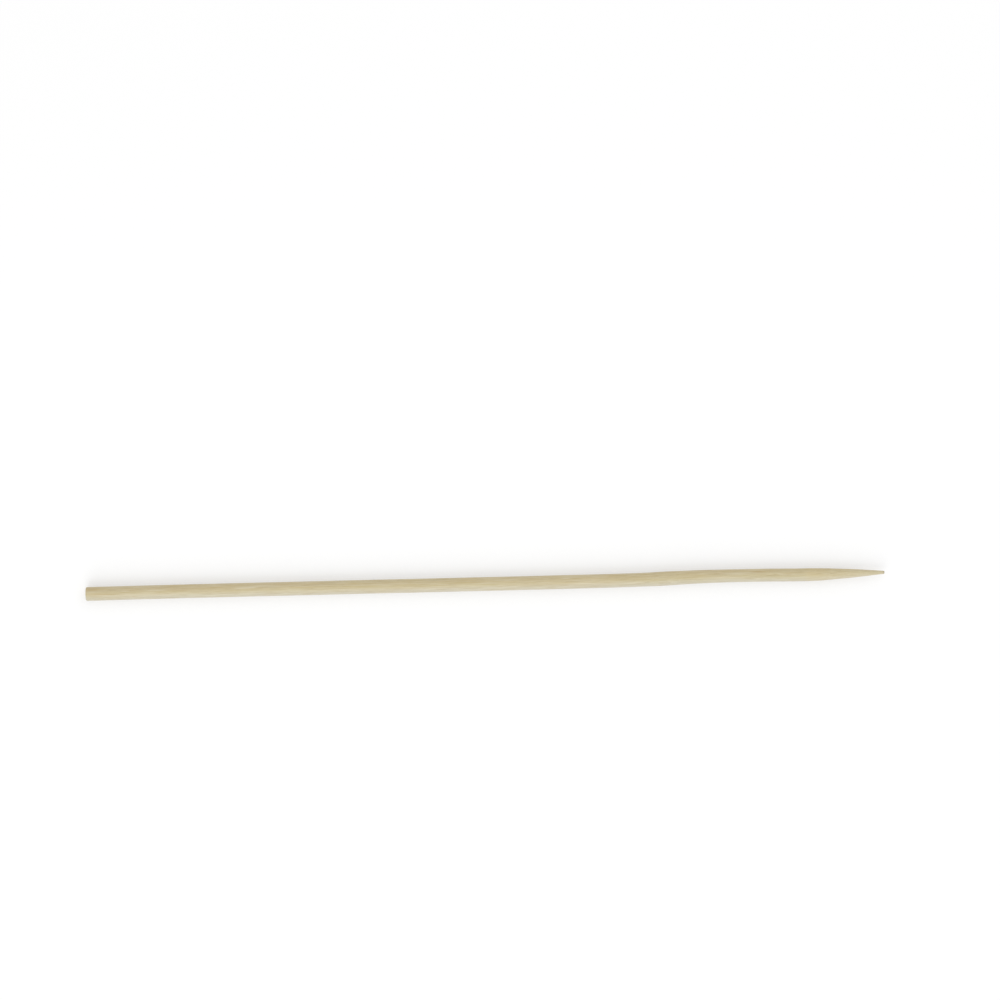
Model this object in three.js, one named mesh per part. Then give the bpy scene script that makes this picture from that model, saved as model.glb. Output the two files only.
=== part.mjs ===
// A bamboo skewer in millimetres: one stick, planed round, sawn square at the butt and ground to a point.
// +X runs from the sawn butt to the point, +Z is up, and the origin is the centre of the sawn face.
// The stick lies flat, so all of its crookedness is across the table, along Y.
import * as THREE from "three";

// Driving dimensions of the stick
const length = 180;
const shaftDiameter = 3.1;
const neckDiameter = 2.9;

// The sawn butt is square, and its rim is worn round in the tumbling drum
const buttRimRadius = 0.28;

// The bamboo's own joint, a low swelling where the stick steps sideways and grows thinner
const nodeToPoint = 32;
const nodeSwelling = 0.05;
const nodeHalfLength = 5;
const thinningLength = 16;

// The ground point: a long belly that ends in a small blunt nose
const pointLength = 18;
const pointBelly = 1.6;
const noseDiameter = 0.66;
const noseLength = 0.16;

// The centre line strays a little from the straight line between the two ends. It starts straight at the
// butt, bows down towards the node, steps up across it, crests, and dips again where the point begins.
const straightButt = 25;
const bowToNode = 18;
const bowDepth = 0.24;
const stepFootToNode = 4;
const stepFootDepth = 0.18;
const nodeToStepHead = 9;
const stepHeadRise = 0.13;
const crestToRoot = 9;
const crestRise = 0.09;
const rootDip = 0.07;

// The section: two half-rounds that meet at two fine ridges, and a flat planed on the bamboo's skin side
const ridgeHeight = 0.03;
const ridgeHalfAngle = THREE.MathUtils.degToRad(9);
const ridgeTurn = THREE.MathUtils.degToRad(27);
const skinFlatDepth = 0.06;
const skinTurn = ridgeTurn + Math.PI / 2;

// How finely the surface is divided
const sides = 40;
const shaftStep = 4.5;
const nodeStep = 1.6;
const pointStep = 0.9;
const rimSteps = 4;
const noseSteps = 4;

// Places along the stick that follow from the dimensions
const pointRoot = length - pointLength;
const nodePlace = pointRoot - nodeToPoint;

// A bump that is 1 at its middle and falls smoothly to 0 at one half-width to either side.
function bump(distance, halfWidth) {
  return Math.abs(distance) < halfWidth ? (1 + Math.cos((Math.PI * distance) / halfWidth)) / 2 : 0;
}

// The shaft's radius: one size before the node, a smaller one past it, and a low swelling at the node.
function shaftRadius(x) {
  const past = THREE.MathUtils.smoothstep(x, nodePlace, nodePlace + thinningLength);
  const plain = THREE.MathUtils.lerp(shaftDiameter, neckDiameter, past) / 2;
  return plain + nodeSwelling * bump(x - nodePlace, nodeHalfLength);
}

// The ground point's radius: steep at the nose, and it runs into the shaft with no step at the root.
function pointRadius(x) {
  const left = THREE.MathUtils.clamp((x - pointRoot) / pointLength, 0, 1);
  return THREE.MathUtils.lerp(shaftRadius(pointRoot), noseDiameter / 2, Math.pow(left, pointBelly));
}

// Equal steps from one place to another, the first place left out and the last one kept.
function steps(from, to, step) {
  const count = Math.max(1, Math.round(Math.abs(to - from) / step));
  return Array.from({ length: count }, (_, i) => THREE.MathUtils.lerp(from, to, (i + 1) / count));
}

// The turned profile from axis to axis, as points of radius and place along the stick.
function turnedProfile() {
  const butt = shaftDiameter / 2;
  const profile = [new THREE.Vector2(0, 0), new THREE.Vector2((butt - buttRimRadius) / 2, 0)];
  for (let i = 0; i <= rimSteps; i++) {
    const turn = ((Math.PI / 2) * i) / rimSteps;
    const radius = butt - buttRimRadius * (1 - Math.sin(turn));
    profile.push(new THREE.Vector2(radius, buttRimRadius * (1 - Math.cos(turn))));
  }
  const places = [
    ...steps(buttRimRadius, nodePlace - nodeHalfLength, shaftStep),
    ...steps(nodePlace - nodeHalfLength, nodePlace + nodeHalfLength, nodeStep),
    ...steps(nodePlace + nodeHalfLength, pointRoot, shaftStep),
  ];
  for (const x of places) {
    profile.push(new THREE.Vector2(shaftRadius(x), x));
  }
  const noseRoot = length - noseLength;
  for (const x of steps(pointRoot, noseRoot, pointStep)) {
    profile.push(new THREE.Vector2(pointRadius(x), x));
  }
  for (let i = 1; i <= noseSteps; i++) {
    const turn = ((Math.PI / 2) * i) / noseSteps;
    const radius = i < noseSteps ? pointRadius(noseRoot) * Math.cos(turn) : 0;
    profile.push(new THREE.Vector2(radius, noseRoot + noseLength * Math.sin(turn)));
  }
  return profile;
}

// The planed section: how far from the centre the surface lies at an angle, where a round has this radius.
// The flat is cut before the point is ground, so it runs out just past the point's root.
function planedRadius(x, radius, angle) {
  const shaft = shaftRadius(x);
  const fromRidge = Math.asin(Math.min(1, Math.abs(Math.sin(angle - ridgeTurn))));
  const ridge = (radius / shaft) * ridgeHeight * bump(fromRidge, ridgeHalfAngle);
  const facing = Math.cos(angle - skinTurn);
  const flat = facing > 0 ? (shaft - skinFlatDepth) / facing : radius;
  return Math.min(radius, flat) + ridge;
}

// The centre line: each place along the stick, and how far it lies there to +Y of the straight line.
const centreLinePoints = [
  [0, 0],
  [straightButt, 0],
  [nodePlace - bowToNode, -bowDepth],
  [nodePlace - stepFootToNode, -stepFootDepth],
  [nodePlace + nodeToStepHead, stepHeadRise],
  [pointRoot - crestToRoot, crestRise],
  [pointRoot, -rootDip],
  [length, 0],
];
const centreLine = new THREE.CubicInterpolant(
  centreLinePoints.map(([place]) => place),
  centreLinePoints.map(([, stray]) => stray),
  1,
  new Float32Array(1),
);

// Turns the round blank into the real stick: a ring gets the planed section and moves onto the centre line.
function planeAndBend(blank) {
  const position = blank.getAttribute("position");
  const point = new THREE.Vector3();
  for (let i = 0; i < position.count; i++) {
    point.fromBufferAttribute(position, i);
    const angle = Math.atan2(point.z, point.y);
    const round = Math.hypot(point.y, point.z);
    const planed = planedRadius(point.x, round, angle);
    const offset = centreLine.evaluate(point.x)[0];
    position.setXYZ(i, point.x, planed * Math.cos(angle) + offset, planed * Math.sin(angle));
  }
  return blank;
}

// The lathe turns about Y, so the blank is laid down along X before it is planed and bent.
const blank = new THREE.LatheGeometry(turnedProfile(), sides);
blank.rotateZ(-Math.PI / 2);
const stick = planeAndBend(blank);
stick.computeVertexNormals();

const bamboo = new THREE.MeshStandardMaterial({ color: 0xcbbf9c, roughness: 0.6, metalness: 0 });
const skewer = new THREE.Mesh(stick, bamboo);
skewer.name = "skewer";

const part = new THREE.Group();
part.add(skewer);

export default part;
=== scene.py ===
# %% [markdown]
# # A bamboo skewer
#
# A skewer is a single stick. A strip is split from the wall of a bamboo stem and pulled through a
# pair of half-round knives. The rod is cut to length, ground to a point at one end and tumbled in
# a drum until it is smooth. Nothing is painted or varnished, so all that the eye sees is the
# grain and what the tools did to it.
#
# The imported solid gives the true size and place, so it is loaded first and the rest is built round it.

# %% Load the frame
import math

import bpy
import numpy as np
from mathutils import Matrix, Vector


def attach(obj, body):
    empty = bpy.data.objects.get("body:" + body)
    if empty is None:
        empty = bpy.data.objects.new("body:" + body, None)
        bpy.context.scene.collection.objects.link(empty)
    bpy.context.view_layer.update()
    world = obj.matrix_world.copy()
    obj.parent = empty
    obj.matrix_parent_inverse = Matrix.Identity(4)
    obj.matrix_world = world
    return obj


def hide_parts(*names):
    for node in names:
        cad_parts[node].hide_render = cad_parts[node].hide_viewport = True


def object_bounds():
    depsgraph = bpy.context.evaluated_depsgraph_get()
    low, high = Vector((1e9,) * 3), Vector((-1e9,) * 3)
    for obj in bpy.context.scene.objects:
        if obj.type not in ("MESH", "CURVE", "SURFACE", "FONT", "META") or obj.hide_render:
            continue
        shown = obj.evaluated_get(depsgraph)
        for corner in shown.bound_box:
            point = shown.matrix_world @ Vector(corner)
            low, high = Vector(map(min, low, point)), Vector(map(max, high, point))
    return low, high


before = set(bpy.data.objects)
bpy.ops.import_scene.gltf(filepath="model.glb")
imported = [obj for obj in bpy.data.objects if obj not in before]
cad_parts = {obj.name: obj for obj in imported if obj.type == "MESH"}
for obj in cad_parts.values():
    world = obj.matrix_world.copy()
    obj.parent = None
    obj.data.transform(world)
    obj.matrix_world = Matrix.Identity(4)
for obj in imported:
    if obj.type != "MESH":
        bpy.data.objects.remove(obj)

mm = 0.001
rng = np.random.default_rng(318)
cad_low, cad_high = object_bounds()
length = cad_high.x - cad_low.x
print("the solid measures", [round(side / mm, 3) for side in cad_high - cad_low], "mm")

# %% [markdown]
# ## The blank
#
# Seen from far away the stick is a turned shape: a square sawn butt with a worn rim, a plain shaft, a
# low swelling at the bamboo's node, a slightly thinner neck and a long point with a blunt nose. A stack
# of cylinders and cones would leave a crease at every join. One profile of radius against place has
# none, so the radius is a function, and every later step may ask it how thick the stick is at any place.

# %% How thick the stick is
shaft_diameter = 3.1 * mm
neck_diameter = 2.9 * mm
rim_radius = 0.28 * mm
point_length = 18 * mm
point_belly = 1.6
nose_diameter = 0.66 * mm
nose_length = 0.16 * mm
node_to_point = 32 * mm
node_half_length = 5 * mm
node_swelling = 0.05 * mm
thinning_length = 16 * mm
point_root = length - point_length
nose_root = length - nose_length
node_place = point_root - node_to_point


def ease(value, start, stop):
    """0 before start and 1 after stop, with an S-curve between: 3 t squared less 2 t cubed."""
    t = np.clip((value - start) / (stop - start), 0, 1)
    return t * t * (3 - 2 * t)


def hump(distance, half_width):
    """1 at distance 0, and half a cosine wave down to 0 at half_width to either side."""
    t = np.clip(np.abs(distance) / half_width, 0, 1)
    return (1 + np.cos(np.pi * t)) / 2


def shaft_radius(x):
    """The shaft's radius: it eases from shaft to neck past the node, and a low hump sits on the node."""
    past = ease(x, node_place, node_place + thinning_length)
    plain = (shaft_diameter * (1 - past) + neck_diameter * past) / 2
    return plain + node_swelling * hump(x - node_place, node_half_length)


def point_radius(x):
    """The point's radius: from neck to nose by the share of the point gone by, to the power belly."""
    gone = np.clip((x - point_root) / point_length, 0, 1) ** point_belly
    return (neck_diameter * (1 - gone) + nose_diameter * gone) / 2


def stick_radius(x):
    """The shaft's radius up to the point's root, and the point's past it."""
    return np.where(x < point_root, shaft_radius(x), point_radius(x))


for place in (20 * mm, node_place, point_root, 175 * mm):
    print(f"at {place / mm:.0f} mm the stick is {2 * stick_radius(place) / mm:.2f} mm across")

# %% [markdown]
# ## The crooked centre line
#
# Bamboo steps sideways at a node, and a rod planed from it keeps a trace of that step. The bend is
# under a third of a millimetre, yet the eye reads a dead straight stick as plastic. A handful of
# places and offsets, joined by a smooth curve, is enough. Each stretch between two of them is a
# Hermite cubic, whose slope at a place is the slope of the line between that place's neighbours.

# %% The centre line
centre_places = np.array([0, 25, 112, 126, 139, 153, 162, 180]) * mm
centre_offsets = np.array([0, 0, -0.24, -0.18, 0.13, 0.09, -0.07, 0]) * mm
centre_slopes = np.gradient(centre_offsets, centre_places)
centre_rises = centre_offsets[2:] - centre_offsets[:-2]
centre_slopes[1:-1] = centre_rises / (centre_places[2:] - centre_places[:-2])


def centre_line(x):
    """How far to +Y the stick's middle lies at a place.

    On a stretch of width w it is h00 y0 + h10 w m0 + h01 y1 + h11 w m1, with offsets y and slopes m.
    """
    k = np.clip(np.searchsorted(centre_places, x, side="right") - 1, 0, len(centre_places) - 2)
    width = centre_places[k + 1] - centre_places[k]
    t = np.clip((x - centre_places[k]) / width, 0, 1)
    from_start = centre_offsets[k] * (2 * t**3 - 3 * t**2 + 1)
    from_start = from_start + centre_slopes[k] * width * (t**3 - 2 * t**2 + t)
    from_end = centre_offsets[k + 1] * (3 * t**2 - 2 * t**3)
    from_end = from_end + centre_slopes[k + 1] * width * (t**3 - t**2)
    return from_start + from_end


strays = centre_line(np.linspace(0, length, 200))
print(f"the centre line strays from {strays.min() / mm:.2f} to {strays.max() / mm:.2f} mm")

# %% [markdown]
# ## Rings along the stick
#
# The surface is a grid: rings along the stick, and columns round it. Rings are close together where
# the form or the tool marks are fine, at the rim, the node and the point, and wide apart on the plain
# shaft, where the grain runs lengthwise and hardly changes from one ring to the next. The columns are
# a twentieth of a millimetre apart, because that is the width of the finest fibre lines.

# %% Where the rings go
face_rings = 18
rim_rings = 9
nose_rings = 9
shaft_step = 0.66 * mm
node_step = 0.3 * mm
point_step = 0.13 * mm


def spaced(start, stop, step):
    """Even places from start up to stop, which is left out, as near to step apart as fits."""
    return np.linspace(start, stop, max(1, round((stop - start) / step)), endpoint=False)


flat_radius = shaft_diameter / 2 - rim_radius
quarter_rim = spaced(0, math.pi / 2, math.pi / 2 / rim_rings)
quarter_nose = spaced(0, math.pi / 2, math.pi / 2 / nose_rings)
shaft_places = np.concatenate([
    spaced(rim_radius, node_place - node_half_length, shaft_step),
    spaced(node_place - node_half_length, node_place + node_half_length, node_step),
    spaced(node_place + node_half_length, point_root, shaft_step),
])
point_places = spaced(point_root, nose_root, point_step)
ring_place = np.concatenate([
    np.zeros(face_rings),
    rim_radius * (1 - np.cos(quarter_rim)),
    shaft_places,
    point_places,
    nose_root + nose_length * np.sin(quarter_nose),
])
ring_radius = np.concatenate([
    flat_radius * np.arange(1, face_rings + 1) / (face_rings + 1),
    flat_radius + rim_radius * np.sin(quarter_rim),
    stick_radius(shaft_places),
    stick_radius(point_places),
    stick_radius(nose_root) * np.cos(quarter_nose),
])
rings = len(ring_place)
print(rings, "rings:", len(shaft_places), "of them on the shaft and", len(point_places), "on the point")

# %% A grid of rings and columns
columns = 192
turn = np.arange(columns) * (2 * math.pi / columns)
x, angle = np.meshgrid(ring_place, turn, indexing="ij")
blank_radius = np.repeat(ring_radius[:, None], columns, axis=1)
print("with", columns, "columns the surface takes", 2 * rings * columns, "triangles")

# %% [markdown]
# ## Soft random values
#
# No two millimetres of a plant are alike, so most of what follows is stirred with noise. A net of
# random values, blended smoothly between its corners, is the simplest kind. The net closes on itself
# round the stick, so no seam shows, and its cells are long along the grain and narrow across it.

# %% A net of soft noise
def soft_noise(place, around, cell, turns):
    """Smooth random values from -1 to 1: the four corners of a net's cell, blended with S-curves.

    A cell is that long along the stick, and the net has that many cells round it.
    """
    down = place / cell
    across = (around / (2 * math.pi) * turns) % turns
    net = rng.uniform(-1, 1, (int(down.max()) + 3, turns))
    i = np.floor(down).astype(int)
    j = np.floor(across).astype(int) % turns
    s = ease(down - i, 0, 1)
    t = ease(across - np.floor(across), 0, 1)
    near = net[i, j] * (1 - t) + net[i, (j + 1) % turns] * t
    far = net[i + 1, j] * (1 - t) + net[i + 1, (j + 1) % turns] * t
    return near * (1 - s) + far * s


# %% [markdown]
# ## The planed section
#
# The rod is shaped by two half-round knives, one above and one below the strip. Where they meet, each
# leaves a hair of bamboo standing: two fine ridges along the whole stick, on opposite sides. They are
# ragged, because the drum breaks them off here and there. On the side that was the bamboo's skin, the
# strip was scraped flat before it reached the knives, and a narrow flat is left. Both could be cut
# with flat tools, which would leave dead straight edges. As a formula of the angle, the ridges can
# wander and the flat can fade out into the point.

# %% Ridges and flat
ridge_turn = math.radians(27)
skin_turn = ridge_turn + math.pi / 2
ridge_height = 0.028 * mm
ridge_half_angle = math.radians(5)
skin_flat_depth = 0.06 * mm
least_facing = 0.2
ridge_wander = math.radians(1.6)


def on_ridge(around):
    """1 along the two lines where the knives meet, and a hump down to 0 beside them."""
    from_ridge = np.arcsin(np.clip(np.abs(np.sin(around - ridge_turn)), 0, 1))
    return hump(from_ridge, ridge_half_angle)


def planed_radius(x, radius, around, kept=1.0):
    """How far out the surface of a ring lies at an angle.

    It is the lesser of the round's radius and the flat's distance over the cosine, plus the kept ridge.
    """
    shaft = shaft_radius(x)
    facing = np.cos(around - skin_turn)
    flat = (shaft - skin_flat_depth) / np.maximum(facing, least_facing)
    flat = np.where(facing > least_facing, flat, radius)
    return np.minimum(radius, flat) + ridge_height * on_ridge(around) * kept * radius / shaft


wander = ridge_wander * soft_noise(x, 0 * angle, 17 * mm, 3)
ragged = np.clip(0.72 + 0.5 * soft_noise(x, angle, 3.1 * mm, 4), 0.1, 1)
planed = planed_radius(x, blank_radius, angle + wander, ragged)
print(f"the ridges stand {1000 * (planed - blank_radius).max() / mm:.0f} thousandths of a millimetre proud")

# %% [markdown]
# ## Fibre bundles
#
# Cut across, a bamboo wall is pale soft tissue sprinkled with darker bundles of hard fibre. They
# are small and crowded under the skin, large and sparse inside, and each large one holds a pair of
# open vessels. They run the length of the stem. So the grain isn't painted on the surface: the
# bundles are laid out once in the section, and every point of the surface asks how near it is to
# one. The same answer draws long streaks on the shaft, dots on the sawn face and drawn-out ovals
# where the point was ground across them.

# %% Lay the bundles out in the section
bundle_reach = 1.75 * mm
section_half = 1.6 * mm
jitter = 0.16
# Each pair is the size on the skin side, then the size on the pith side.
bundle_step = (0.34 * mm, 0.66 * mm)
row_step = (0.26 * mm, 0.52 * mm)
bundle_size = (0.095 * mm, 0.175 * mm)


def between(sides, depth):
    """An even change from a pair's first size to its second, from the skin side to the pith side."""
    share = np.clip((section_half - depth) / (2 * section_half), 0, 1)
    return sides[0] * (1 - share) + sides[1] * share


def lay_bundles():
    """Rows of bundles from skin to pith, each half a step out of line with the last, and all jittered."""
    found = []
    depth = bundle_reach
    row = 0
    while depth > -bundle_reach:
        step = between(bundle_step, depth)
        beside = np.arange(-bundle_reach, bundle_reach, step) + step * 0.5 * (row % 2)
        beside = beside + rng.uniform(-jitter, jitter, beside.size) * step
        down = depth + rng.uniform(-jitter, jitter, beside.size) * step
        size = between(bundle_size, depth) * rng.uniform(0.8, 1.2, beside.size)
        found.append(np.column_stack([beside, down, size]))
        depth -= between(row_step, depth)
        row += 1
    bundles = np.concatenate(found)
    return bundles[np.hypot(bundles[:, 0], bundles[:, 1]) < bundle_reach]


bundles = lay_bundles()
thinnest = bundles[:, 2].min() / mm
thickest = bundles[:, 2].max() / mm
print(f"{len(bundles)} bundles, from {thinnest:.2f} to {thickest:.2f} mm in radius")

# %% [markdown]
# The fibres drift a little as they run, and the knives don't follow them exactly, so a streak comes
# to the surface, widens, and sinks away again. At the node they swerve aside and outward, and there
# the streaks of the shaft break up into short curls.

# %% Where every point lies in the grain
node_reach = 7 * mm
node_swerve = 0.17 * mm
swerve_pitch = 1.3 * mm
node_lift = 0.12 * mm
side_drift = 0.09 * mm
depth_drift = 0.11 * mm
grain_side = planed * np.cos(angle)
grain_up = planed * np.sin(angle)
beside = -grain_side * math.sin(skin_turn) + grain_up * math.cos(skin_turn)
depth = grain_side * math.cos(skin_turn) + grain_up * math.sin(skin_turn)
swerve = node_swerve * hump(x - node_place, node_reach) * np.sin((x - node_place) / swerve_pitch)
beside = beside + swerve * soft_noise(x, angle, 4 * mm, 7)
beside = beside + side_drift * soft_noise(x, angle, 26 * mm, 3)
depth = depth + node_lift * hump(x - node_place, node_half_length)
depth = depth + depth_drift * soft_noise(x, angle, 19 * mm, 5)
print(f"the grain runs from {depth.min() / mm:.2f} to {depth.max() / mm:.2f} mm deep")

# %% How near every point is to a bundle
bundle_sway = 0.05 * mm


def bundle_marks(x, beside, depth):
    """Fibre: the greatest of exp(-(side / 0.85 r) squared - (depth / 1.25 r) squared) over the bundles.

    Vessel: the same for the two vessels of each, a third of r to either side and about a quarter of r wide.
    """
    fibre = np.zeros_like(beside)
    vessel = np.zeros_like(beside)
    for centre, down, size in bundles:
        phase = rng.uniform(0, 2 * math.pi)
        other = rng.uniform(0, 2 * math.pi)
        wave = rng.uniform(38, 90) * mm
        side = beside - centre - bundle_sway * np.sin(2 * math.pi * x / wave + phase)
        down_by = depth - down - bundle_sway * np.sin(2 * math.pi * x / (0.7 * wave) + other)
        strength = 0.8 + 0.2 * np.sin(2 * math.pi * x / (0.31 * wave) + other)
        near = np.exp(-((side / (0.85 * size)) ** 2) - (down_by / (1.25 * size)) ** 2)
        fibre = np.maximum(fibre, strength * near)
        from_vessel = np.hypot(np.abs(side) - 0.36 * size, down_by + 0.2 * size)
        big = np.clip(size / (0.15 * mm) - 0.5, 0, 1)
        vessel = np.maximum(vessel, big * np.exp(-((from_vessel / (0.27 * size)) ** 2)))
    return fibre, vessel


fibre, vessel = bundle_marks(x, beside, depth)
print(f"bundles cover {100 * (fibre > 0.5).mean():.0f} percent of the surface")

# %% [markdown]
# ## Relief
#
# Under a raking light the stick isn't smooth. Dry soft tissue has shrunk between the hard bundles, so
# they stand proud by a hundredth of a millimetre. Each of the two knives has left faint waves across the
# grain, and one set is out of step with the other. The grinding wheel has left rings round the point and
# a few broad flats, and the saw has left lines and torn fibre ends on the butt. All of these are real
# changes of height. They are added along the blank's own normal, which points out of the face, the shaft
# or the nose. Bump would be cheaper, but it changes neither the outline nor the shadow's edge.

# %% Where each tool has been
saw_edge = flat_radius + 0.6 * rim_radius
grind_from = point_root - 0.6 * mm
grind_full = point_root + 1.2 * mm
nose_from = nose_root - 0.5 * mm
sawn = (1 - ease(blank_radius, flat_radius, saw_edge)) * (x < rim_radius)
ground = ease(x, grind_from, grind_full)
nose = ease(x, nose_from, nose_root)
lower_half = (np.sin(angle - ridge_turn) < 0) * 1.0
shaft_only = (1 - sawn) * (1 - ground)
print(f"grinding begins {grind_from / mm:.1f} mm from the butt")

# %% Traces of the knives
knife_pitch = 1.35 * mm
knife_depth = 0.0022 * mm
out_of_step = 2.1
plane_depth = 0.008 * mm
knife_phase = 2 * math.pi * x / knife_pitch + out_of_step * lower_half
knife_phase = knife_phase + 1.5 * soft_noise(x, angle, 9 * mm, 2)
knife_waves = knife_depth * np.sin(knife_phase) * (0.6 + 0.4 * soft_noise(x, angle, 14 * mm, 3))
knives = knife_waves + plane_depth * soft_noise(x, angle, 12 * mm, 6)
print(f"the knives leave {knives.min() / mm:.3f} to {knives.max() / mm:.3f} mm")

# %% Traces of the grinding wheel
wheel_pitch = 0.31 * mm
ring_lean = 0.12 * mm
ring_depth = 0.007 * mm
wheel_flat_length = 3.4 * mm
wheel_flat_depth = 0.02 * mm
thin_end = 0.2 * mm
leaning = x + ring_lean * np.sin(angle + 1)
wheel_rings = ring_depth * soft_noise(leaning, 0 * angle, wheel_pitch, 1)
wheel_flats = wheel_flat_depth * soft_noise(x, angle, wheel_flat_length, 6)
wheel = wheel_rings + wheel_flats * np.clip((planed - thin_end) / mm, 0, 1)
print(f"the wheel leaves {wheel.min() / mm:.3f} to {wheel.max() / mm:.3f} mm")

# %% Traces of the saw
saw_way = math.radians(12)
saw_pitch = 0.23 * mm
saw_depth = 0.010 * mm
saw_inset = 0.008 * mm
torn_depth = 0.024 * mm
pore_depth = 0.05 * mm


def face_noise(cell):
    """Soft noise in square cells across the stick, so that nothing radiates from the middle of an end."""
    cells = math.ceil(2 * bundle_reach / cell) + 1
    up = (grain_up + bundle_reach) / (cells * cell) * 2 * math.pi
    return soft_noise(grain_side + bundle_reach, up, cell, cells)


saw_across = planed * np.cos(angle - saw_way)
saw_lines = saw_depth * np.sin(2 * math.pi * saw_across / saw_pitch + 2 * face_noise(0.6 * mm))
torn = torn_depth * (1 - fibre) * (0.5 + 0.5 * face_noise(0.11 * mm))
saw = saw_inset + saw_lines + torn + pore_depth * vessel
print(f"the saw cuts {saw[sawn > 0.5].min() / mm:.3f} to {saw[sawn > 0.5].max() / mm:.3f} mm deep")

# %% All the relief together
fibre_rise = 0.012 * mm
groove_depth = 0.010 * mm
crumble_depth = 0.05 * mm
crumble = crumble_depth * (1 - fibre) * (0.5 + 0.5 * face_noise(0.1 * mm))
standing = fibre_rise * (fibre - 0.3) * (1 + 0.9 * ground)
height = (1 - sawn) * (standing - groove_depth * vessel)
height = height + shaft_only * knives
height = height + ground * (1 - nose) * wheel
height = height - sawn * saw - nose * crumble
print(f"heights run from {height.min() / mm:.3f} to {height.max() / mm:.3f} mm")

# %% [markdown]
# ## Nicks, flecks and scrapes
#
# Handling leaves small marks: a fleck of darker tissue, a pale scrape, a shallow nick. A few are set
# where this stick has them, and others are sprinkled round the rest of it, so that no side is bare.
# Each is a long soft oval lying along the grain, turned by a slight skew. The two knife ridges are a
# little paler too, because the drum rubs them first. They could be drawn in a picture, but an oval
# worked out from its own middle stays clean however near the camera comes.

# %% Marks
# Each is the place and angle of its middle in millimetres and degrees, its length, its width, its skew, its
# depth, how dark it is and how pale it is.
set_marks = [
    (10.2, 72, 1.3, 0.14, 0.02, 0.006, 0.5, 0.0),
    (10.9, 127, 1.3, 0.16, 0.00, 0.004, 0.5, 0.0),
    (1.3, 48, 3.0, 0.70, 0.00, 0.000, 0.35, 0.0),
    (21.0, 75, 6.0, 0.40, 0.01, 0.000, 0.2, 0.0),
    (142.7, 65, 2.4, 0.16, 0.09, 0.006, 0.3, 0.0),
    (151.4, 56, 2.9, 0.40, 0.02, 0.000, 0.5, 0.0),
    (156.4, 80, 1.3, 0.11, 0.05, 0.005, 0.0, 0.9),
    (158.2, 79, 1.3, 0.09, 0.04, 0.009, 0.8, 0.0),
]


def sprinkle_marks(count):
    """Marks like the set ones at random places, mostly thin and faint."""
    rows = np.column_stack([
        rng.uniform(2, 172, count),
        rng.uniform(0, 360, count),
        rng.uniform(0.8, 7, count),
        rng.uniform(0.07, 0.3, count),
        rng.uniform(-0.05, 0.05, count),
        rng.uniform(0, 0.006, count),
        rng.uniform(0, 0.4, count) * rng.integers(0, 2, count),
        rng.uniform(0, 0.8, count) * rng.integers(0, 2, count),
    ])
    return [tuple(row) for row in rows]


all_marks = set_marks + sprinkle_marks(90)
print(len(set_marks), "marks are set, and", len(all_marks) - len(set_marks), "are sprinkled")

# %% Press the marks in and tint them
mark_radius = 1.5
ridge_paleness = 0.4
dark = np.zeros_like(x)
pale = ridge_paleness * on_ridge(angle + wander) * ragged * shaft_only
for place, side, long, wide, skew, deep, darkness, paleness in all_marks:
    ahead = x / mm - place
    turned = (angle - math.radians(side) + math.pi) % (2 * math.pi) - math.pi
    aside = turned * mark_radius - skew * ahead
    oval = np.exp(-((ahead / (0.5 * long)) ** 4) - (aside / (0.5 * wide)) ** 2)
    height = height - deep * mm * oval
    dark = np.maximum(dark, darkness * oval)
    pale = np.maximum(pale, paleness * oval)
print(f"marks touch {100 * ((dark + pale) > 0.2).mean():.1f} percent of the surface")

# %% [markdown]
# ## From numbers to a mesh
#
# The grid is now pushed along its normals, laid on the centre line and closed with one point at each
# end. Quads join neighbouring rings, and two fans of triangles close the sawn face and the nose. The
# corners run so that every face looks outwards, which the sign of the enclosed volume proves. The
# mesh could be built face by face, but handing the arrays over whole is far quicker.

# %% Push the grid out and lay it on the centre line
step_x = np.gradient(ring_place)
step_r = np.gradient(ring_radius)
slope = np.hypot(step_x, step_r)
normal_x = (-step_r / slope)[:, None]
normal_r = (step_x / slope)[:, None]
surface_x = np.clip(x + normal_x * height, cad_low.x, cad_high.x)
surface_r = planed + normal_r * height
surface_y = surface_r * np.cos(angle) + centre_line(surface_x)
surface_z = surface_r * np.sin(angle)
pole_inset = 0.01 * mm
poles = np.array([[pole_inset, 0, 0], [length, 0, 0]])
points = np.concatenate([np.stack([surface_x, surface_y, surface_z], axis=-1).reshape(-1, 3), poles])
print(len(points), "points, the two poles with them")

# %% Join the rings
corner = np.arange(rings * columns).reshape(rings, columns)
beyond = np.roll(corner, -1, axis=1)
quads = np.stack([corner[:-1], beyond[:-1], beyond[1:], corner[1:]], axis=-1).reshape(-1, 4)
butt_fan = np.stack([np.full(columns, rings * columns), beyond[0], corner[0]], axis=-1)
nose_fan = np.stack([np.full(columns, rings * columns + 1), corner[-1], beyond[-1]], axis=-1)


def enclosed_volume(points, faces):
    """The sum of a . (b x c) / 6 over triangles cut from the faces, above zero when they look outwards."""
    total = 0.0
    for k in range(1, faces.shape[1] - 1):
        a, b, c = points[faces[:, 0]], points[faces[:, k]], points[faces[:, k + 1]]
        total += np.einsum("ij,ij->", a, np.cross(b, c)) / 6
    return total


volume = sum(enclosed_volume(points, faces) for faces in (quads, butt_fan, nose_fan))
print(f"the surface encloses {volume / mm**3:.0f} cubic millimetres")

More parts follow.
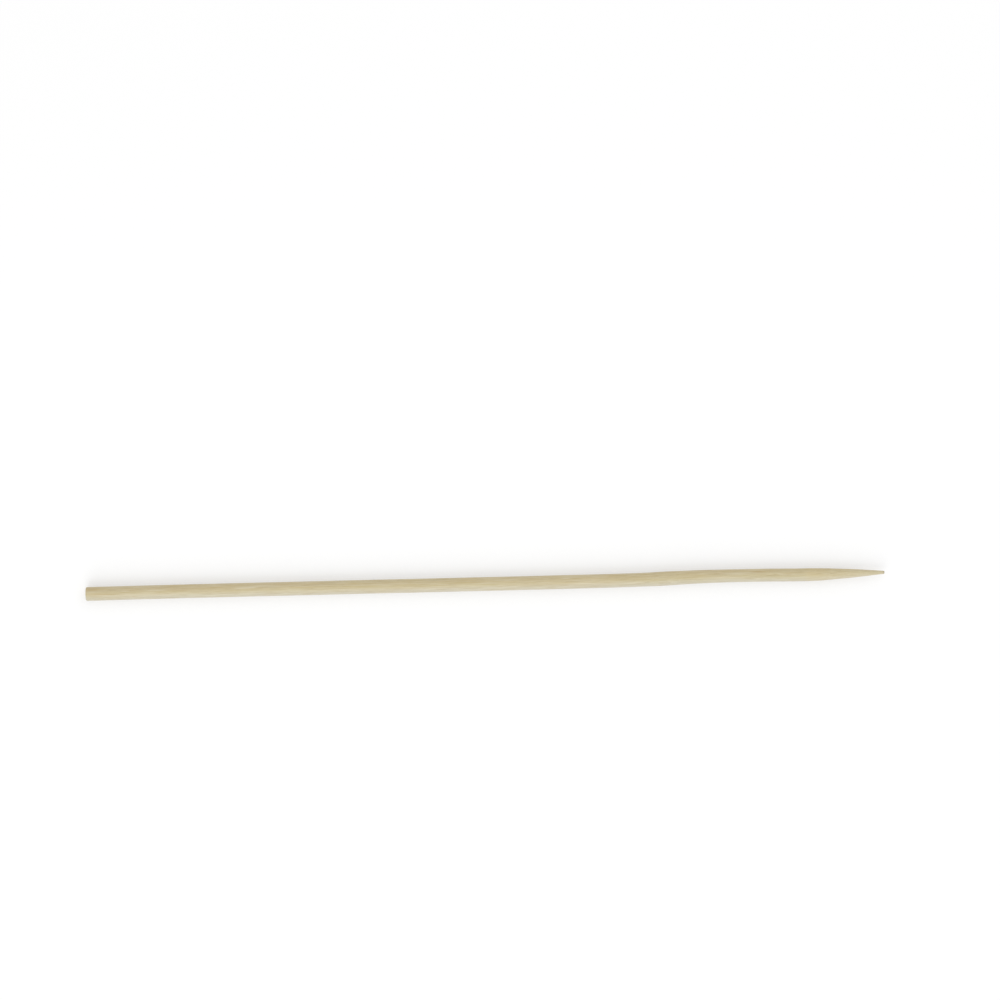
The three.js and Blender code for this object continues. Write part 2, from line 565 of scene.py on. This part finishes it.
# %% A mesh from arrays
def mesh_from_arrays(name, points, face_lists):
    """A smooth-shaded mesh object: all corners in one run, and where each face starts in it."""
    mesh = bpy.data.meshes.new(name)
    corners = np.concatenate([faces.ravel() for faces in face_lists]).astype(np.int32)
    sizes = np.concatenate([np.full(len(faces), faces.shape[1]) for faces in face_lists]).astype(np.int32)
    mesh.vertices.add(len(points))
    mesh.vertices.foreach_set("co", points.astype(np.float32).ravel())
    mesh.loops.add(len(corners))
    mesh.loops.foreach_set("vertex_index", corners)
    mesh.polygons.add(len(sizes))
    mesh.polygons.foreach_set("loop_start", np.concatenate([[0], np.cumsum(sizes)[:-1]]).astype(np.int32))
    mesh.polygons.foreach_set("use_smooth", np.ones(len(sizes), bool))
    mesh.update(calc_edges=True)
    mesh.validate()
    piece = bpy.data.objects.new(name, mesh)
    bpy.context.scene.collection.objects.link(piece)
    return piece


stick = mesh_from_arrays("bamboo_stick", points, [quads, butt_fan, nose_fan])
print(stick.name, "has", len(stick.data.polygons), "faces")

# %% [markdown]
# ## What the finish has to know
#
# The material can't work out by itself where the saw went or where a bundle lies, so each point
# carries that along as named values. The most useful is the grain place: distance along the stick,
# then sideways and towards the skin, in millimetres. A pattern stretched along its first number
# follows every bend of the fibres. The stick also gets a flat map of its skin, in bands, so that a
# texture can be laid on it later.

# %% Values carried by each point
skin = ease(depth, 0.2 * mm, 1.4 * mm)
grain = np.stack([surface_x, beside, depth], axis=-1) / mm
pole_grain = np.array([[0, 0, 0], [length / mm, 0, 0]])


def carry(piece, name, values):
    """Stores a number, or a vector, for each point of the piece under a name that materials can read."""
    kind, slot_name = ("FLOAT_VECTOR", "vector") if values.ndim == 2 else ("FLOAT", "value")
    layer = piece.data.attributes.new(name, kind, "POINT")
    layer.data.foreach_set(slot_name, values.astype(np.float32).ravel())


carry(stick, "grain", np.concatenate([grain.reshape(-1, 3), pole_grain]))
for name, values, at_butt, at_nose in (
    ("fibre", fibre, 0.2, 0.5),
    ("vessel", vessel, 0.0, 0.0),
    ("skin", skin, 0.0, 0.0),
    ("ground", ground, 0.0, 1.0),
    ("sawn", sawn, 1.0, 0.0),
    ("nose", nose, 0.0, 1.0),
    ("dark", dark, 0.0, 0.0),
    ("pale", pale, 0.0, 0.0),
):
    carry(stick, name, np.append(values.ravel(), [at_butt, at_nose]))
carried_names = [layer.name for layer in stick.data.attributes if not layer.name.startswith(".")]
print("each point carries", carried_names)

# %% A flat map in bands
bands = 4
map_gap = 0.01
walked = np.cumsum(np.append(ring_radius[0], np.hypot(np.diff(ring_place), np.diff(ring_radius))))
whole_walk = walked[-1] + ring_radius[-1]
first_ring = np.searchsorted(walked, whole_walk * np.arange(bands) / bands)
band_start = np.append(0, walked[first_ring[1:]])
band_end = np.append(band_start[1:], whole_walk)


def on_map(band, distance, column):
    """Across: the share of the band that is walked. Up: the share of the way round, in the band's row."""
    inside = 1 - 2 * map_gap
    across = map_gap + inside * (distance - band_start[band]) / (band_end[band] - band_start[band])
    up = (band + map_gap + inside * column / columns) / bands
    return np.stack(np.broadcast_arrays(across, up), axis=-1)


row, column = np.meshgrid(np.arange(rings - 1), np.arange(columns), indexing="ij")
row_band = (np.searchsorted(first_ring, row, side="right") - 1).clip(0)
near, far = walked[row], walked[row + 1]
quad_map = np.stack([
    on_map(row_band, near, column),
    on_map(row_band, near, column + 1),
    on_map(row_band, far, column + 1),
    on_map(row_band, far, column),
], axis=2).reshape(-1, 2)
fan = np.arange(columns)
butt_map = np.stack([
    on_map(0, 0 * fan, fan + 0.5),
    on_map(0, walked[0], fan + 1),
    on_map(0, walked[0], fan),
], axis=1)
nose_map = np.stack([
    on_map(bands - 1, whole_walk + 0 * fan, fan + 0.5),
    on_map(bands - 1, walked[-1], fan),
    on_map(bands - 1, walked[-1], fan + 1),
], axis=1)
flat_map = stick.data.uv_layers.new(name="OFBake")
whole_map = np.concatenate([quad_map, butt_map.reshape(-1, 2), nose_map.reshape(-1, 2)])
flat_map.uv.foreach_set("vector", whole_map.astype(np.float32).ravel())
print(f"a band of the map holds {1000 * whole_walk / bands:.0f} mm of the stick")

# %% [markdown]
# ## Loose fibres
#
# However long it is tumbled, a bamboo stick keeps a few hairs: slivers of fibre that are still rooted
# in the surface at one end and curl a little away from it at the other. Most of them stand round the
# root of the point, where the wheel cut across the grain. Each is a tapered tube with its own curl.
# They all have the same number of sides and steps, so one array holds them all. Blender's hair would
# do for a picture, but a plain mesh can be handed on with the stick.

# %% Tapered slivers
sliver_steps = 10
sliver_sides = 6


def lay_slivers(place, side, long, thick, lift, drift):
    """Tubes rooted just under the surface, with t from 0 at the root to 1 at the tip.

    They rise by lift times t to the power 1.8 and narrow as the square root of 1 - t. Their section is an
    ellipse, 0.6 as high as it is wide.
    """
    t = np.linspace(0, 0.97, sliver_steps)
    spine_x = place[:, None] - long[:, None] * t
    spine_turn = side[:, None] + drift[:, None] * t**1.5
    under = planed_radius(spine_x, stick_radius(spine_x), spine_turn)
    spine_r = under - 0.3 * thick[:, None] + lift[:, None] * t**1.8
    half = 0.5 * thick[:, None] * np.sqrt(1 - t)
    around = np.arange(sliver_sides) * (2 * math.pi / sliver_sides)
    across = half[..., None] * np.cos(around)
    outward = 0.6 * half[..., None] * np.sin(around)
    cos, sin = np.cos(spine_turn)[..., None], np.sin(spine_turn)[..., None]
    radius = spine_r[..., None] + outward
    y = radius * cos + across * sin + centre_line(spine_x)[..., None]
    z = radius * sin - across * cos
    return np.stack([np.broadcast_to(spine_x[..., None], y.shape), y, z], axis=-1)


# %% Root them in the stick
neck_hairs = 11
shaft_hairs = 8
hairs = neck_hairs + shaft_hairs
hair_place = np.append(rng.uniform(157, 172, neck_hairs), rng.uniform(8, 150, shaft_hairs)) * mm
hair_side = rng.uniform(0, 2 * math.pi, hairs)
hair_long = rng.uniform(1.6, 4.5, hairs) * mm
hair_thick = rng.uniform(0.03, 0.06, hairs) * mm
hair_lift = np.append(rng.uniform(0.03, 0.13, neck_hairs), rng.uniform(0.02, 0.07, shaft_hairs)) * mm
hair_drift = rng.uniform(-0.25, 0.25, hairs)
tubes = lay_slivers(hair_place, hair_side, hair_long, hair_thick, hair_lift, hair_drift)
tube_corner = np.arange(tubes[..., 0].size).reshape(hairs, sliver_steps, sliver_sides)
tube_beyond = np.roll(tube_corner, -1, axis=2)
tube_quads = np.stack(
    [tube_corner[:, :-1], tube_beyond[:, :-1], tube_beyond[:, 1:], tube_corner[:, 1:]], axis=-1
).reshape(-1, 4)
tube_roots = tube_corner[:, 0, ::-1]
tube_tips = tube_corner[:, -1]
if enclosed_volume(tubes.reshape(-1, 3), tube_quads) < 0:
    tube_quads, tube_roots, tube_tips = tube_quads[:, ::-1], tube_roots[:, ::-1], tube_tips[:, ::-1]
loose = mesh_from_arrays("loose_fibres", tubes.reshape(-1, 3), [tube_quads, tube_roots, tube_tips])
loose_grain = tubes.reshape(-1, 3).copy()
loose_grain[:, 1] -= centre_line(loose_grain[:, 0])
carry(loose, "grain", loose_grain / mm)
carry(loose, "fibre", np.full(len(loose_grain), 0.7))
carry(loose, "pale", np.full(len(loose_grain), 0.35))
print(hairs, "loose fibres with", len(loose.data.polygons), "faces")

# %% [markdown]
# ## The bamboo
#
# One material covers the stick, because it is one stuff. Its colour is built as the plant builds it.
# Slow tints come first, greener here and warmer there. Then one side is painted paler and greyer,
# a painted reflection of white light, and the other side warmer and yellower, a painted warm shade.
# Long pale and tan streaks lie over that, then the bundles with their vessels, then fine strands and
# hairlines. Last comes what the tools and handling have done: the darker dots of the sawn face, the
# warmer tone where the wheel heated the point, the grey nose and the flecks. Each step is a blend
# between two colours, steered by a value of the points or by noise stretched along the grain. A photo
# of bamboo could be wrapped round instead, but it would know nothing of the bundles, the saw or
# the wheel.

# %% Helpers for building a material
bamboo = bpy.data.materials.new("bamboo")
bamboo.use_nodes = True
tree = bamboo.node_tree
tree.nodes.clear()


def colour(red, green, blue):
    """A colour as it is written for a screen, 0 to 255, turned into the linear light that Blender mixes."""
    share = np.array([red, green, blue]) / 255
    linear = np.where(share <= 0.04045, share / 12.92, ((share + 0.055) / 1.055) ** 2.4)
    return (*linear.tolist(), 1.0)


def node(kind, inputs=None, **settings):
    """A new node with its settings made. An input is set, or linked if its value is another's output."""
    made = tree.nodes.new(kind)
    for name, value in settings.items():
        setattr(made, name, value)
    for name, value in (inputs or {}).items():
        if isinstance(value, bpy.types.NodeSocket):
            tree.links.new(value, made.inputs[name])
        else:
            made.inputs[name].default_value = value
    return made


def carried(name):
    """What the points carry under that name."""
    return node("ShaderNodeAttribute", attribute_name=name)


def maths(operation, first, second, clamp=False):
    """One sum on two numbers, kept within 0 and 1 if asked."""
    return node("ShaderNodeMath", {0: first, 1: second}, operation=operation, use_clamp=clamp).outputs[0]


def share_of(value, low, high, to_low=0.0, to_high=1.0):
    """Where value lies between low and high, as a number between to_low and to_high."""
    return node("ShaderNodeMapRange", {0: value, 1: low, 2: high, 3: to_low, 4: to_high}).outputs[0]


def blend(factor, first, second):
    """Two colours mixed by a factor from 0 to 1."""
    made = node("ShaderNodeMix", data_type="RGBA")
    for socket, value in ((made.inputs[0], factor), (made.inputs[6], first), (made.inputs[7], second)):
        if isinstance(value, bpy.types.NodeSocket):
            tree.links.new(value, socket)
        else:
            socket.default_value = value
    return made.outputs[2]


# %% Noise that runs with the grain
grain_place = carried("grain").outputs["Vector"]


def grain_noise(long, wide, detail=2.0, roughness=0.5, shift=0.0):
    """Noise whose blotches are about long millimetres along the grain and wide millimetres across it."""
    finer = (1 / long, 1 / wide, 1 / wide)
    aside = (shift, 2 * shift, 3 * shift)
    scaled = node("ShaderNodeVectorMath", {0: grain_place, 1: finer}, operation="MULTIPLY")
    moved = node("ShaderNodeVectorMath", {0: scaled.outputs[0], 1: aside}, operation="ADD")
    settings = {"Vector": moved.outputs[0], "Scale": 1.0, "Detail": detail, "Roughness": roughness}
    return node("ShaderNodeTexNoise", settings).outputs["Fac"]


# %% Values and noise that steer the colour
fibre_value = carried("fibre").outputs["Fac"]
vessel_value = carried("vessel").outputs["Fac"]
skin_value = carried("skin").outputs["Fac"]
ground_value = carried("ground").outputs["Fac"]
sawn_value = carried("sawn").outputs["Fac"]
nose_value = carried("nose").outputs["Fac"]
grain_beside = node("ShaderNodeSeparateXYZ", {0: grain_place}).outputs["Y"]
slow_tint = share_of(grain_noise(34, 2.4), 0.34, 0.66)
streaks = share_of(grain_noise(9, 0.42, 3.0, 0.55, 3.1), 0.32, 0.68)
short_streaks = share_of(grain_noise(3.2, 0.17, shift=7.7), 0.35, 0.65)
strands = share_of(grain_noise(1.4, 0.045, 2.0, 0.55, 12.3), 0.3, 0.7)
dark_lines = share_of(grain_noise(6.5, 0.07, 1.0, 0.5, 31.7), 0.60, 0.72)
pale_lines = share_of(grain_noise(5.0, 0.08, 1.0, 0.5, 44.9), 0.60, 0.72)
print("the steering values take", len(tree.nodes), "nodes")

# %% Colour of the stuff itself
green_straw = colour(200, 195, 166)
warm_straw = colour(209, 197, 172)
skin_straw = colour(198, 188, 140)
# Painted light: a warmer yellow painted on one side as shade, and a pale grey for the other side as a
# painted reflection of white light.
painted_warm_shade = colour(206, 185, 134)
painted_white_reflection = colour(212, 210, 204)
pale_streak = colour(221, 213, 188)
tan_streak = colour(186, 168, 124)
hard_fibre = colour(186, 169, 124)
open_vessel = colour(158, 136, 92)
strand_tan = colour(170, 152, 108)
line_brown = colour(150, 128, 84)
line_white = colour(232, 226, 204)

tissue = blend(slow_tint, green_straw, warm_straw)
tissue = blend(maths("MULTIPLY", skin_value, 0.45), tissue, skin_straw)
# One side is painted warmer and yellower as shade, and the other paler and greyer as a painted reflection
# of white light.
tissue = blend(share_of(grain_beside, -1.4, 0.2, 0.7, 0.0), tissue, painted_warm_shade)
tissue = blend(share_of(grain_beside, -0.5, 1.2, 0.0, 0.8), tissue, painted_white_reflection)
tissue = blend(maths("MULTIPLY", streaks, 0.5), tissue, pale_streak)
tissue = blend(share_of(short_streaks, 0.0, 0.5, 0.32, 0.0), tissue, tan_streak)
tissue = blend(share_of(fibre_value, 0.25, 0.9, 0.0, 0.42), tissue, hard_fibre)
tissue = blend(share_of(vessel_value, 0.2, 0.9, 0.0, 0.45), tissue, open_vessel)
tissue = blend(share_of(strands, 0.0, 1.0, 0.22, 0.0), tissue, strand_tan)
tissue = blend(maths("MULTIPLY", dark_lines, 0.42), tissue, line_brown)
tissue = blend(maths("MULTIPLY", pale_lines, 0.40), tissue, line_white)
print("with the stuff's own colour there are", len(tree.nodes), "nodes")

# %% Colour that the tools and handling left
wheel_warm = colour(214, 197, 157)
end_tissue = colour(208, 195, 158)
end_fibre = colour(164, 138, 94)
end_pore = colour(96, 76, 48)
nose_grey = colour(158, 144, 118)
fleck_brown = colour(178, 150, 103)
scrape_white = colour(228, 221, 198)

warmed = blend(share_of(streaks, 0.0, 1.0, 0.42, 0.18), tissue, wheel_warm)
tissue = blend(maths("MULTIPLY", ground_value, 0.8), tissue, warmed)
end_grain = blend(share_of(fibre_value, 0.15, 0.75), end_tissue, end_fibre)
end_grain = blend(share_of(vessel_value, 0.2, 0.7), end_grain, end_pore)
tissue = blend(sawn_value, tissue, end_grain)
tissue = blend(maths("MULTIPLY", nose_value, 0.4), tissue, nose_grey)
tissue = blend(carried("dark").outputs["Fac"], tissue, fleck_brown)
tissue = blend(carried("pale").outputs["Fac"], tissue, scrape_white)
print("with the tools' colours there are", len(tree.nodes), "nodes")

# %% [markdown]
# Dry bamboo has no gloss of its own, but the hard bundles and the scraped skin side catch a little
# light along the grain. The ground point and the sawn face scatter it. Lines finer than the mesh can
# hold are bump: strands on the shaft, the wheel's scratches round the point and the saw's across the
# butt. One even roughness would be simpler, and it would look like plastic.

# %% Roughness and fine relief
roughness = share_of(fibre_value, 0.0, 1.0, 0.66, 0.55)
roughness = maths("ADD", roughness, share_of(skin_value, 0.0, 1.0, 0.0, -0.08))
cut_across = maths("ADD", ground_value, sawn_value)
roughness = maths("ADD", roughness, share_of(cut_across, 0.0, 1.0, 0.0, 0.14))
roughness = maths("ADD", roughness, share_of(strands, 0.0, 1.0, 0.04, -0.04), clamp=True)
strand_depth = 0.012 * mm
streak_depth = 0.010 * mm
scratches = grain_noise(0.07, 1.8, 2.0, 0.6, 21.0)
grooved = maths("SUBTRACT", strands, dark_lines)
fine_height = blend(ground_value, grooved, scratches)
strand_bump = node("ShaderNodeBump", {"Height": fine_height, "Strength": 0.7, "Distance": strand_depth})
streak_bump = node(
    "ShaderNodeBump",
    {"Height": short_streaks, "Strength": 0.5, "Distance": streak_depth, "Normal": strand_bump.outputs[0]},
)
surface = node(
    "ShaderNodeBsdfPrincipled",
    {"Base Color": tissue, "Roughness": roughness, "IOR": 1.45, "Normal": streak_bump.outputs[0]},
)
surface.inputs["Specular IOR Level"].default_value = 0.4
node("ShaderNodeOutputMaterial", {"Surface": surface.outputs[0]})
for piece in (stick, loose):
    piece.data.materials.append(bamboo)
print("the bamboo is made of", len(tree.nodes), "nodes")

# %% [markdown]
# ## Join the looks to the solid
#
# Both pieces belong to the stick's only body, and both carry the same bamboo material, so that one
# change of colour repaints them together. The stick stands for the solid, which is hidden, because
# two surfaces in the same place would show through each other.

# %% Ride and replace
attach(stick, "root")
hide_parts("skewer")
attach(loose, "root")

# %% [markdown]
# ## Floor, light and camera
#
# The stick lies on a plain white floor under soft light, as a catalogue shows small wares. Where the
# camera sees the floor, it is partly lit and partly plain white, so the stick's shadow is kept but
# stays pale. Where it throws light back it is a little greyer, so it doesn't wash out the underside.
# Two soft lamps stand on either side, the stronger one in front of the stick, and an even glow comes
# from all round. Together they light a level white surface just about to white, and no further.

# %% Floor
floor_drop = 0.004 * mm
floor_half = 3.0
floor_mesh = bpy.data.meshes.new("floor")
floor_level = float(surface_z.min()) - floor_drop
corner_signs = [(-1, -1), (1, -1), (1, 1), (-1, 1)]
floor_corners = [(a * floor_half, b * floor_half, floor_level) for a, b in corner_signs]
floor_mesh.from_pydata(floor_corners, [], [(0, 1, 2, 3)])
floor = bpy.data.objects.new("floor", floor_mesh)
bpy.context.scene.collection.objects.link(floor)


def seen_directly():
    """1 for a ray from the camera, or one sent on by gloss or clear stuff, and 0 for scattered light."""
    path = node("ShaderNodeLightPath").outputs
    either = maths("MAXIMUM", path["Is Camera Ray"], path["Is Glossy Ray"])
    return maths("MAXIMUM", either, path["Is Transmission Ray"])


white = (1.0, 1.0, 1.0, 1.0)
floor_grey = (0.78, 0.78, 0.78, 1.0)
plain_share = 0.4
white_floor = bpy.data.materials.new("white_floor")
white_floor.use_nodes = True
tree = white_floor.node_tree
tree.nodes.clear()
thrown_back = node("ShaderNodeBsdfDiffuse", {"Color": floor_grey}).outputs[0]
lit_white = node("ShaderNodeBsdfDiffuse", {"Color": white}).outputs[0]
plain_white = node("ShaderNodeEmission", {"Color": white, "Strength": 1.0}).outputs[0]
looked_at = node("ShaderNodeMixShader", {0: plain_share, 1: lit_white, 2: plain_white}).outputs[0]
floor_look = node("ShaderNodeMixShader", {0: seen_directly(), 1: thrown_back, 2: looked_at}).outputs[0]
node("ShaderNodeOutputMaterial", {"Surface": floor_look})
floor_mesh.materials.append(white_floor)
print(f"the floor lies {-floor_level / mm:.3f} mm below the stick's middle")

# %% Glow from all round
world = bpy.data.worlds.new("even_glow")
bpy.context.scene.world = world
world.use_nodes = True
tree = world.node_tree
tree.nodes.clear()
glow_strength = 0.72
glow = node("ShaderNodeBackground", {"Color": white, "Strength": glow_strength}).outputs[0]
backdrop = node("ShaderNodeBackground", {"Color": white, "Strength": 1.0}).outputs[0]
sky = node("ShaderNodeMixShader", {0: seen_directly(), 1: glow, 2: backdrop}).outputs[0]
node("ShaderNodeOutputWorld", {"Surface": sky})
print("the glow has a strength of", glow_strength, "and the backdrop is plain white")

# %% Two soft lamps
middle = Vector((length / 2, 0.0, 0.0))
lamp_size = 0.8


def soft_lamp(name, offset, power):
    """A square lamp of that many watts, at that offset from the stick's middle and turned towards it."""
    lamp = bpy.data.lights.new(name, "AREA")
    lamp.size = lamp_size
    lamp.energy = power
    stand = bpy.data.objects.new(name, lamp)
    bpy.context.scene.collection.objects.link(stand)
    stand.location = middle + Vector(offset)
    stand.rotation_mode = "QUATERNION"
    stand.rotation_quaternion = Vector(offset).to_track_quat("Z", "Y")
    print(name, f"gives {power} W from {Vector(offset).length:.2f} m away")


soft_lamp("key_lamp", (-0.2, -0.72, 0.62), 3.9)
soft_lamp("fill_lamp", (0.3, 0.6, 0.7), 1.4)

# %% [markdown]
# The camera looks straight down. It could be set by eye, but two places in the picture fix it better:
# the sawn end's and the tip's. The distance between them gives the size of a pixel on the stick, and
# the line between them gives the tilt. The rest is how far the picture's middle lies from the sawn end.

# %% Camera
# Counted in pixels: the side of the square picture, its middle, and the stick's two ends in it.
picture = 1000
picture_middle = (500.0, 500.0)
butt_pixel = (86.0, 594.0)
tip_pixel = (884.5, 572.3)
camera_height = 0.9
sensor = 36.0
rise = butt_pixel[1] - tip_pixel[1]
run = tip_pixel[0] - butt_pixel[0]
pixel = length / math.hypot(run, rise)
tilt = math.atan2(rise, run)
right = (picture_middle[0] - butt_pixel[0]) * pixel
above = (butt_pixel[1] - picture_middle[1]) * pixel
camera_data = bpy.data.cameras.new("camera")
camera_data.sensor_width = sensor
camera_data.lens = sensor * camera_height / (picture * pixel)
camera_data.clip_start = 0.05
camera_data.clip_end = 20.0
camera = bpy.data.objects.new("camera", camera_data)
bpy.context.scene.collection.objects.link(camera)
camera.location = (
    right * math.cos(tilt) + above * math.sin(tilt),
    above * math.cos(tilt) - right * math.sin(tilt),
    camera_height,
)
camera.rotation_euler = (0.0, 0.0, -tilt)
bpy.context.scene.camera = camera
bpy.context.scene.view_settings.view_transform = "Standard"
print(f"the picture is {1000 * picture * pixel:.1f} mm wide, and the lens is {camera_data.lens:.1f} mm")

# %% [markdown]
# ## Sizes
#
# The solid's box of numbers is printed before the scene is closed.

# %% Write the sizes and finish
print("solid  ", [round(v / mm, 3) for v in (*cad_low, *cad_high)])
